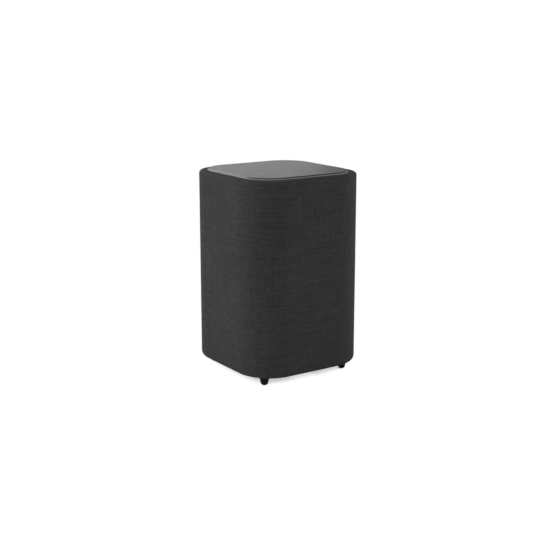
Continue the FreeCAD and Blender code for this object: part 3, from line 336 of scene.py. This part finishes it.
def wadding_material():
    m = Nodes("wadding_fibre", rough=0.95, specular=0.2, sheen=0.3)
    web = m.noise(m.obj, 160.0, 8.0, 0.8, 1.4)
    tuft = m.noise(m.obj, 26.0, 5.0, 0.6, 0.6)
    tone = m.mix(m.span(web, 0.3, 0.7, 0, 1), (0.42, 0.42, 0.41), (0.78, 0.78, 0.76))
    # painted shade: darker grey in the hollows between tufts, where the tuft height is low
    tone = m.mix(m.span(tuft, 0.3, 0.7, 0.35, 0.0), tone, (0.30, 0.30, 0.29))
    return m.finish(tone, m.bump(m.math("ADD", web, m.math("MULTIPLY", tuft, 1.5)), 0.0022, 0.8), m.span(web, 0.3, 0.7, 0.88, 1.0))


def laminate_material():
    """Circuit board: solder mask over faint tracks and pads."""
    m = Nodes("board_laminate", rough=0.38, specular=0.5)
    part = m.new("ShaderNodeSeparateXYZ")
    m.feed(part.inputs[0], m.obj)
    lane = m.noise(m.scale(m.obj, (1.0, 1.0, 18.0)), 28.0, 0.0)
    track = m.math("GREATER_THAN", m.math("ABSOLUTE", m.math("SINE", m.math("MULTIPLY", m.math("ADD", part.outputs[0], m.math("MULTIPLY", lane, 0.006)), 1900.0))), 0.72)
    zone = m.math("GREATER_THAN", m.noise(m.obj, 55.0, 1.0), 0.52)
    copper = m.math("MULTIPLY", track, zone)
    weave = m.noise(m.obj, 1400.0, 2.0)
    tone = m.mix(copper, (0.012, 0.055, 0.026), (0.022, 0.105, 0.045))
    tone = m.mix(m.span(weave, 0.3, 0.7, 0.0, 0.3), tone, (0.008, 0.035, 0.018))
    return m.finish(tone, m.bump(m.math("ADD", copper, m.math("MULTIPLY", weave, 0.3)), 0.00004, 0.6), m.span(weave, 0.3, 0.7, 0.32, 0.45))


def wire_material():
    """Enamelled copper wire wound in close turns along Z."""
    m = Nodes("copper_wire", rough=0.28, metallic=1.0, coat=0.6, coat_rough=0.12)
    part = m.new("ShaderNodeSeparateXYZ")
    m.feed(part.inputs[0], m.obj)
    turn = m.math("ABSOLUTE", m.math("SINE", m.math("MULTIPLY", part.outputs[2], math.pi / 0.0005)))
    broad = m.noise(m.obj, 60.0, 3.0)
    tone = m.mix(m.span(broad, 0.3, 0.7, 0, 1), (0.62, 0.25, 0.10), (0.80, 0.38, 0.17))
    # painted shade: the colour darkens to dark copper in the grooves between turns, where the turn mask is low
    tone = m.mix(m.span(turn, 0.0, 0.5, 0.75, 0.0), tone, (0.12, 0.04, 0.02))
    return m.finish(tone, m.bump(turn, 0.0002, 0.7), m.span(broad, 0.3, 0.7, 0.22, 0.36))


def frosted_material():
    m = Nodes("clear_plastic", rough=0.4, ior=1.49)
    m.set("Transmission Weight", 0.55)
    cloud = m.noise(m.obj, 1600.0, 2.0)
    tone = m.mix(cloud, (0.62, 0.64, 0.67), (0.80, 0.81, 0.83))
    return m.finish(tone, m.bump(cloud, 0.00003, 0.5), m.span(cloud, 0.3, 0.7, 0.34, 0.48))


def wrap_material():
    return woven("cover_fabric", (0.0134, 0.0134, 0.0136), (0.0530, 0.0530, 0.0535))


M = {
    "cover_fabric": wrap_material(),
    "panel_satin": panel_material(),
    "trim_grey": coated("trim_grey", (0.19, 0.19, 0.195), 0.55, 0.12),
    "black_plastic": moulded("black_plastic", (0.020, 0.020, 0.021), 0.5),
    "niche_plastic": moulded("niche_plastic", (0.018, 0.018, 0.019), 0.48, grain=6500, depth=0.00005),
    "button_plastic": moulded("button_plastic", (0.040, 0.040, 0.043), 0.36),
    "foot_black": moulded("foot_black", (0.0045, 0.0045, 0.005), 0.5, spec=0.12),
    "soft_rubber": rubbery("soft_rubber", (0.016, 0.016, 0.017)),
    "lead_jacket": rubbery("lead_jacket", (0.030, 0.030, 0.031), 0.5),
    "board_wood": board_material(),
    "wadding_fibre": wadding_material(),
    "black_metal": coated("black_metal", (0.018, 0.018, 0.020)),
    "plated_metal": metal("plated_metal", (0.60, 0.60, 0.62), 0.34),
    "bare_aluminium": metal("bare_aluminium", (0.78, 0.78, 0.80), 0.38, (1.0, 14.0, 1.0)),
    "dark_ferrite": coated("dark_ferrite", (0.045, 0.045, 0.05), 0.6),
    "cone_pulp": pulp_material(),
    "spider_cloth": cloth_material("spider_cloth", (0.22, 0.13, 0.03), (0.52, 0.36, 0.12)),
    "board_laminate": laminate_material(),
    "copper_wire": wire_material(),
    "clear_plastic": frosted_material(),
}

for sub in frame["record"]["subparts"]:
    ob = nodes[sub["node"]]
    m = M[sub["material_slot"]]
    if ob.material_slots:
        for s in ob.material_slots:
            s.material = m
    else:
        ob.data.materials.append(m)


# ---- mesh helpers ------------------------------------------------------------------------
def mesh_object(name, verts, faces, material, smooth=True, uv=None):
    me = bpy.data.meshes.new(name)
    me.from_pydata([tuple(map(float, v)) for v in verts], [], [tuple(map(int, f)) for f in faces])
    me.update()
    if uv is not None:
        layer = me.uv_layers.new(name="cloth")
        flat = np.zeros(len(me.loops) * 2, dtype=np.float32)
        i = 0
        for f, q in zip(faces, uv):
            for c in q:
                flat[i], flat[i + 1] = c
                i += 2
        layer.data.foreach_set("uv", flat)
    me.materials.append(material)
    for p in me.polygons:
        p.use_smooth = smooth
    ob = bpy.data.objects.new(name, me)
    scene.collection.objects.link(ob)
    return ob


def section(half, radius, fine):
    """Points round a rounded square, anticlockwise from the middle of its back, with outward normals and arc lengths."""
    flat = half - radius
    total = 8 * flat + 2 * math.pi * radius
    n = int(total / fine)
    s = set(np.round(np.linspace(0, total, n, endpoint=False), 6))
    for d in (0.0006, 0.0011, 0.0018, 0.003):           # finer round the back seam
        s.add(round(d, 6))
        s.add(round(total - d, 6))
    s = np.array(sorted(s))
    keep = [0]
    for k in range(1, len(s)):
        if s[k] - s[keep[-1]] > 0.00035:
            keep.append(k)
    s = s[keep]
    pts, nor = [], []
    arc = math.pi * radius / 2
    for q in s:
        # a path: half a side, then corner and side in turn
        t, p, a = q, Vector((0, half, 0)), 0.0
        direction = Vector((-1, 0, 0))
        legs = [("l", flat)] + [("c", arc), ("l", 2 * flat)] * 3 + [("c", arc), ("l", flat)]
        for kind, length in legs:
            use = min(t, length)
            if kind == "l":
                p = p + direction * use
            else:
                turn = use / radius
                inward = Vector((-direction.y, direction.x, 0))
                centre = p + inward * radius
                r = Matrix.Rotation(turn, 3, "Z")
                p = centre + r @ (p - centre)
                direction = r @ direction
            t -= use
            if t <= 1e-9:
                break
        pts.append(p)
        nor.append(Vector((direction.y, -direction.x, 0)))
    return s, np.array(pts), np.array(nor), total


# ---- fabric sleeve -----------------------------------------------------------------------
HALF, RADIUS = 0.176, 0.098
LOW, TOP = 0.024, 0.531
NICHE_Z, NICHE_W, NICHE_H, NICHE_R = 0.096, 0.1043, 0.0603, 0.0152


def sleeve():
    s, base, normal, total = section(HALF, RADIUS, 0.0022)
    # inset and level along the cloth, from the lower hem to the upper one
    prof = [(0.0172, LOW + 0.0012), (0.0168, LOW + 0.0002), (0.0155, LOW + 0.0000)]
    r0, r1 = 0.014, 0.008
    for k in range(0, 11):
        a = math.pi / 2 * k / 10
        prof.append((r0 - r0 * math.sin(a), LOW + r0 - r0 * math.cos(a)))
    steps = int((TOP - LOW - r0 - r1) / 0.0024)
    for k in range(1, steps):
        prof.append((0.0, LOW + r0 + (TOP - LOW - r0 - r1) * k / steps))
    for k in range(0, 11):
        a = math.pi / 2 * k / 10
        prof.append((r1 - r1 * math.cos(a), TOP - r1 + r1 * math.sin(a)))
    for d in (0.0105, 0.0135, 0.0165, 0.0190, 0.0206, 0.0216):
        prof.append((d, TOP))
    prof += [(0.0223, TOP - 0.0002), (0.0229, TOP - 0.0009), (0.0236, TOP - 0.0016), (0.0275, TOP - 0.0016)]
    prof = np.array(prof)
    v = np.concatenate([[0], np.cumsum(np.hypot(*np.diff(prof, axis=0).T))])
    n, m = len(s), len(prof)
    verts = np.zeros((n, m, 3))
    seam_d = np.minimum(s, total - s)
    ph = rng.uniform(0, 6.28, 24)
    for j, (inset, z) in enumerate(prof):
        x = base[:, 0] - normal[:, 0] * inset
        y = base[:, 1] - normal[:, 1] * inset
        # the cloth lies over foam-free board: faint pull lines only
        w = np.zeros(n)
        for k in range(8):
            w += np.sin(s / total * 2 * math.pi * (3 + 2 * k) + ph[k] + z * (9 + 5 * k)) * np.sin(z * (20 + 7 * k) + ph[k + 8]) / (1 + k)
        open_wall = 1.0 if LOW + 0.02 < z < TOP - 0.012 else 0.0
        push = 0.00005 * w * open_wall - 0.00005 * open_wall
        # the joined edges at the back: two low rolls with a narrow valley
        if inset < 0.02:
            push = push - 0.0010 * np.exp(-(seam_d / 0.0008) ** 2) - 0.00003
        verts[:, j, 0] = x + normal[:, 0] * push
        verts[:, j, 1] = y + normal[:, 1] * push
        verts[:, j, 2] = z
    faces, uvs = [], []
    s_next = np.append(s[1:], total)

    def inside(x, z):
        dx, dz = abs(x) - (NICHE_W / 2 - NICHE_R), abs(z - NICHE_Z) - (NICHE_H / 2 - NICHE_R)
        return math.hypot(max(dx, 0), max(dz, 0)) + min(max(dx, dz), 0) < NICHE_R

    index = lambda i, j: (i % n) * m + j
    cut = set()
    for i in range(n):
        for j in range(m - 1):
            c = (verts[i, j] + verts[(i + 1) % n, j + 1]) / 2
            if c[1] > 0.17 and inside(c[0], c[2]):
                cut.add((i, j))
                continue
            faces.append((index(i, j), index(i, j + 1), index(i + 1, j + 1), index(i + 1, j)))
            uvs.append(((s[i], v[j]), (s[i], v[j + 1]), (s_next[i], v[j + 1]), (s_next[i], v[j])))
    # which way round: the normals have to point out
    ring = {}
    for i, j in cut:
        for a, b in ((i, j), (i + 1, j), (i, j + 1), (i + 1, j + 1)):
            ring[(a % n, b)] = True
    kept = set()
    for i in range(n):
        for j in range(m - 1):
            if (i, j) not in cut:
                kept.update(((i, j), ((i + 1) % n, j), (i, j + 1), ((i + 1) % n, j + 1)))
    edge = [k for k in ring if k in kept]
    for (i, j) in edge:          # on to the niche's outline
        x, y, z = verts[i, j]
        ax, az = NICHE_W / 2 - NICHE_R, NICHE_H / 2 - NICHE_R
        dx, dz = x, z - NICHE_Z
        cx, cz = max(-ax, min(ax, dx)), max(-az, min(az, dz))
        ex, ez = dx - cx, dz - cz
        length = math.hypot(ex, ez)
        if length > 1e-9:
            verts[i, j, 0] = cx + ex / length * NICHE_R
            verts[i, j, 2] = NICHE_Z + cz + ez / length * NICHE_R
        verts[i, j, 1] = HALF - 0.0004
    flat = verts.reshape(-1, 3)
    ob = mesh_object("fabric_cover", flat, faces, M["cover_fabric"], uv=uvs)
    bm = bmesh.new()
    bm.from_mesh(ob.data)
    bmesh.ops.delete(bm, geom=[v for v in bm.verts if not v.link_faces], context="VERTS")
    bmesh.ops.recalc_face_normals(bm, faces=bm.faces)
    bm.faces.ensure_lookup_table()
    f = max(bm.faces, key=lambda q: q.calc_center_median().x)
    if f.normal.x < 0:
        bmesh.ops.reverse_faces(bm, faces=bm.faces)
    # the cut edge at the niche turns in
    border = [e for e in bm.edges if e.is_boundary and all(v.co.y > 0.17 and v.co.z < 0.2 and v.co.z > 0.05 for v in e.verts)]
    out = bmesh.ops.extrude_edge_only(bm, edges=border)
    for g in out["geom"]:
        if isinstance(g, bmesh.types.BMVert):
            g.co.y -= 0.0014
    bmesh.ops.recalc_face_normals(bm, faces=bm.faces)
    bm.faces.ensure_lookup_table()
    f = max(bm.faces, key=lambda q: q.calc_center_median().x)
    if f.normal.x < 0:
        bmesh.ops.reverse_faces(bm, faces=bm.faces)
    bm.to_mesh(ob.data)
    bm.free()
    for p in ob.data.polygons:
        p.use_smooth = True
    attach(ob, "cabinet")
    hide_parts("fabric_sleeve")
    return ob, total, float(v[-1])


cover, cloth_w, cloth_l = sleeve()


# ---- driver: the parts that flex ---------------------------------------------------------
DX, DY = 0.0, 0.040


def wedge_ring(name, node, outline, count, slices, material, ripple=None):
    """A turned ring cut into wedges, each a separate mesh."""
    for w in range(count):
        a0, a1 = 2 * math.pi * w / count, 2 * math.pi * (w + 1) / count
        verts, faces = [], []
        k = len(outline)
        for i in range(slices + 1):
            a = a0 + (a1 - a0) * i / slices
            for r, z in outline:
                verts.append((DX + r * math.cos(a), DY + r * math.sin(a), z))
        for i in range(slices):
            for j in range(k):
                p, q = i * k + j, i * k + (j + 1) % k
                faces.append((p, p + k, q + k, q))
        ob = mesh_object("%s_%02d" % (name, w + 1), verts, faces, material)
        # normals come from the whole ring, so that no line shows between wedges
        nor2 = []
        for j in range(k):
            (r0, z0), (r1, z1) = outline[j - 1], outline[(j + 1) % k]
            t = Vector((r1 - r0, z1 - z0)).normalized()
            nor2.append((t.y, -t.x))
        sign = 1.0
        area = sum(outline[j][0] * outline[(j + 1) % k][1] - outline[(j + 1) % k][0] * outline[j][1] for j in range(k))
        if area < 0:
            sign = -1.0
        normals = []
        for i in range(slices + 1):
            a = a0 + (a1 - a0) * i / slices
            for nr, nz in nor2:
                normals.append((sign * nr * math.cos(a), sign * nr * math.sin(a), sign * nz))
        bm = bmesh.new()
        bm.from_mesh(ob.data)
        bm.verts.ensure_lookup_table()
        bm.faces.ensure_lookup_table()
        f = bm.faces[0]
        f.normal_update()
        want = Vector(normals[f.verts[0].index])
        if f.normal.dot(want) < 0:
            bmesh.ops.reverse_faces(bm, faces=bm.faces)
        bm.to_mesh(ob.data)
        bm.free()
        ob.data.normals_split_custom_set_from_vertices(normals)
        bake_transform(ob)
        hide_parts(node)


def surround_outline():
    e, t, mid, r = 0.0272, 0.0013, 0.0872, 0.0082
    low = [(0.0745, e - t), (0.0765, e - t), (mid - r - 0.0012, e - t)]
    for k in range(1, 24):
        a = math.pi + math.pi * k / 24
        low.append((mid + r * math.cos(a), e - t + r * math.sin(a)))
    low += [(mid + r + 0.0009, e - t), (0.0986, e - t), (0.0987, e - t + 0.0003)]
    high = [(0.0987, e - 0.0002), (0.0985, e), (mid + r, e)]
    for k in range(1, 24):
        a = 2 * math.pi - math.pi * k / 24
        high.append((mid + (r - t) * math.cos(a), e + (r - t) * math.sin(a)))
    high += [(mid - r, e), (0.0745, e)]
    return low + high


wedge_ring("surround_roll", "surround", surround_outline(), 36, 4, M["soft_rubber"])


def spider_outline():
    pts_low, pts_high = [], []
    r0, r1, z, t = 0.0195, 0.0586, 0.0762, 0.0007
    n = 84
    for k in range(n + 1):
        f = k / n
        r = r0 + (r1 - r0) * f
        w = math.sin(f * 7 * 2 * math.pi) * 0.0008 * min(1, f * 8, (1 - f) * 8)
        pts_low.append((r, z + w))
        pts_high.append((r, z + w + t))
    return pts_low + [(0.0626, z), (0.0626, z + t)] + pts_high[::-1]


wedge_ring("spider_cloth", "spider", spider_outline(), 12, 6, M["spider_cloth"])


def braid(name, pts, radius):
    """A lead: a round tube along a curve, in the copper wire material."""
    cu = bpy.data.curves.new(name, "CURVE")
    cu.dimensions = "3D"
    sp = cu.splines.new("NURBS")
    sp.points.add(len(pts) - 1)
    for p, q in zip(sp.points, pts):
        p.co = (*q, 1)
    sp.order_u = 3
    sp.use_endpoint_u = True
    sp.resolution_u = 10
    cu.bevel_depth = radius
    cu.bevel_resolution = 5
    cu.use_fill_caps = True
    tmp = bpy.data.objects.new(name + "_tmp", cu)
    scene.collection.objects.link(tmp)
    bpy.context.view_layer.update()
    me = bpy.data.meshes.new_from_object(tmp.evaluated_get(bpy.context.evaluated_depsgraph_get()))
    bpy.data.objects.remove(tmp)
    me.name = name
    me.materials.clear()
    me.materials.append(M["copper_wire"])
    ob = bpy.data.objects.new(name, me)
    scene.collection.objects.link(ob)
    for p in me.polygons:
        p.use_smooth = True
    return ob


for side, sign in (("left", -1), ("right", 1)):
    y0, zt = DY - 0.063, 0.0777
    path = [(sign * 0.004, y0 - 0.0076, zt - 0.0014), (sign * 0.0046, y0 - 0.0079, zt - 0.0130), (sign * 0.006, y0 + 0.007, zt - 0.0205),
            (sign * 0.007, y0 + 0.022, zt - 0.0140), (sign * 0.007, y0 + 0.0315, zt - 0.0160)]
    lead = braid("braided_lead_" + side, path, 0.0007)
    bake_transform(lead)
    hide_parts("tinsel_leads")


# ---- wadding: a soft fibre lining ---------------------------------------------------------
def wadding():
    half, radius = 0.157, 0.079
    z0, z1 = 0.3285, 0.5095
    s, base, normal, total = section(half, radius, 0.009)
    n = len(s)
    prof = [(0.0, z0 + 0.004)]
    for k in range(1, 21):
        prof.append((0.0, z0 + 0.004 + (z1 - z0 - 0.008) * k / 20))
    prof += [(0.004, z1), (0.011, z1 + 0.0005), (0.018, z1)]
    for k in range(0, 21):
        prof.append((0.022, z1 - 0.004 - (z1 - z0 - 0.008) * k / 20))
    prof += [(0.018, z0), (0.011, z0 - 0.0005), (0.004, z0)]
    m = len(prof)
    ph = rng.uniform(0, 6.28, 40)
    verts = []
    for i in range(n):
        for j, (inset, z) in enumerate(prof):
            bump = 0.0
            for k in range(6):
                bump += math.sin(s[i] * (38 + 21 * k) + ph[k] + z * (24 + 11 * k)) * math.sin(z * (44 + 27 * k) + ph[k + 6] - s[i] * 9) / (1.4 + k)
            d = inset + 0.0012 * bump * (1 if inset < 0.011 else -1) + (0.0012 if inset < 0.011 else -0.0002)
            verts.append((base[i, 0] - normal[i, 0] * d, base[i, 1] - normal[i, 1] * d, z))
    faces = []
    for i in range(n):
        for j in range(m):
            a, b = i * m + j, i * m + (j + 1) % m
            c, e = ((i + 1) % n) * m + j, ((i + 1) % n) * m + (j + 1) % m
            faces.append((a, b, e, c))
    ob = mesh_object("wadding_lining", verts, faces, M["wadding_fibre"])
    bm = bmesh.new()
    bm.from_mesh(ob.data)
    bmesh.ops.recalc_face_normals(bm, faces=bm.faces)
    bm.to_mesh(ob.data)
    bm.free()
    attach(ob, "cabinet")
    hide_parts("damping_wadding")


wadding()


# ---- floor, light, camera -----------------------------------------------------------------
def stage():
    """A pale floor: it lights the object as matte white does, and is seen over-exposed to white, with a soft contact shadow."""
    m = Nodes("floor_pale", rough=0.9, specular=0.0)
    cloud = m.noise(m.obj, 0.6, 2.0)
    seen = m.new("ShaderNodeLightPath").outputs["Is Camera Ray"]
    m.finish(m.mix(seen, m.mix(cloud, (0.86, 0.86, 0.86), (0.88, 0.88, 0.88)), (0.0, 0.0, 0.0)))
    m.p.inputs["Emission Color"].default_value = (1, 1, 1, 1)
    for name, reach, open_to, low in (("floor_near", 0.5, 0.13, True), ("floor", 30.0, 0.0, False)):
        me = bpy.data.meshes.new(name)
        if low:
            me.from_pydata([(-reach, -reach, 0), (reach, -reach, 0), (reach, reach, 0), (-reach, reach, 0)], [], [(0, 1, 2, 3)])
            mat = m.mat
            sky_seen = m.new("ShaderNodeAmbientOcclusion", samples=40)
            sky_seen.inputs["Distance"].default_value = 0.22
            shadow = m.span(sky_seen.outputs["AO"], 0.0, open_to, 0.22, 1.0, smooth=False)
            m.set("Emission Strength", m.math("MULTIPLY", seen, shadow))
        else:
            r = 0.5
            me.from_pydata([(-reach, -reach, 0), (reach, -reach, 0), (reach, reach, 0), (-reach, reach, 0),
                            (-r, -r, 0), (r, -r, 0), (r, r, 0), (-r, r, 0)], [],
                           [(0, 1, 5, 4), (1, 2, 6, 5), (2, 3, 7, 6), (3, 0, 4, 7)])
            mat = m.mat.copy()
            mat.name = "floor_far"
            p = [n for n in mat.node_tree.nodes if n.type == "BSDF_PRINCIPLED"][0]
            ray = [n for n in mat.node_tree.nodes if n.type == "LIGHT_PATH"][0]
            for l in list(p.inputs["Emission Strength"].links):
                mat.node_tree.links.remove(l)
            for n in [n for n in mat.node_tree.nodes if n.type == "AMBIENT_OCCLUSION"]:
                mat.node_tree.nodes.remove(n)
            mat.node_tree.links.new(ray.outputs["Is Camera Ray"], p.inputs["Emission Strength"])
        me.materials.append(mat)
        ob = bpy.data.objects.new(name, me)
        scene.collection.objects.link(ob)


def light(name, size, power, at, aim, colour=(1, 1, 1)):
    l = bpy.data.lights.new(name, "AREA")
    l.shape = "RECTANGLE"
    l.size, l.size_y = size
    l.energy = power
    l.color = colour
    ob = bpy.data.objects.new(name, l)
    scene.collection.objects.link(ob)
    ob.location = at
    ob.rotation_euler = (Vector(aim) - Vector(at)).to_track_quat("-Z", "Y").to_euler()
    return ob


stage()
world = bpy.data.worlds.new("studio")
scene.world = world
world.use_nodes = True
wt = world.node_tree
sky = wt.nodes["Background"]
sky.inputs[0].default_value = (1.0, 1.0, 1.0, 1)
seen = wt.nodes.new("ShaderNodeLightPath")
level = wt.nodes.new("ShaderNodeMapRange")          # a white backdrop, and a dimmer room round the object
level.inputs["To Min"].default_value = 0.44
level.inputs["To Max"].default_value = 1.0
wt.links.new(seen.outputs["Is Camera Ray"], level.inputs["Value"])
wt.links.new(level.outputs["Result"], sky.inputs[1])

AIM = (0, 0, 0.3)
light("overhead", (3.0, 3.0), 58.0, (0, 0.2, 4.0), AIM)
light("key_left", (3.8, 2.2), 77.0, (-2.51, 0.80, 1.13), AIM)
light("fill_right", (2.8, 1.5), 56.0, (2.5, -1.45, 0.77), AIM)
light("back_left", (1.1, 0.9), 30.5, (-0.75, 2.1, 1.85), (-0.05, 0, 0.53), (0.965, 0.983, 1.0))
light("back_low", (1.7, 0.9), 4.9, (0.46, 1.75, 0.9), (-0.05, 0, 0.53), (0.965, 0.983, 1.0))

cam = bpy.data.cameras.new("camera")
cam_ob = bpy.data.objects.new("camera", cam)
scene.collection.objects.link(cam_ob)
scene.camera = cam_ob
H = TOP - LOW
target = Vector((0, 0, LOW + 0.5 * H))
az, el = math.radians(-34.15), math.radians(12.61)
back = Vector((math.sin(az) * math.cos(el), -math.cos(az) * math.cos(el), math.sin(el)))
cam_ob.location = target + back * (5.686 * H)
cam_ob.rotation_euler = (-back).to_track_quat("-Z", "Y").to_euler()
cam.sensor_width = 36.0
cam.lens = 70.61
cam.shift_x = -0.00415
cam.shift_y = -0.0186
cam.clip_end = 100
scene.view_settings.view_transform = "Standard"
scene.view_settings.look = "None"
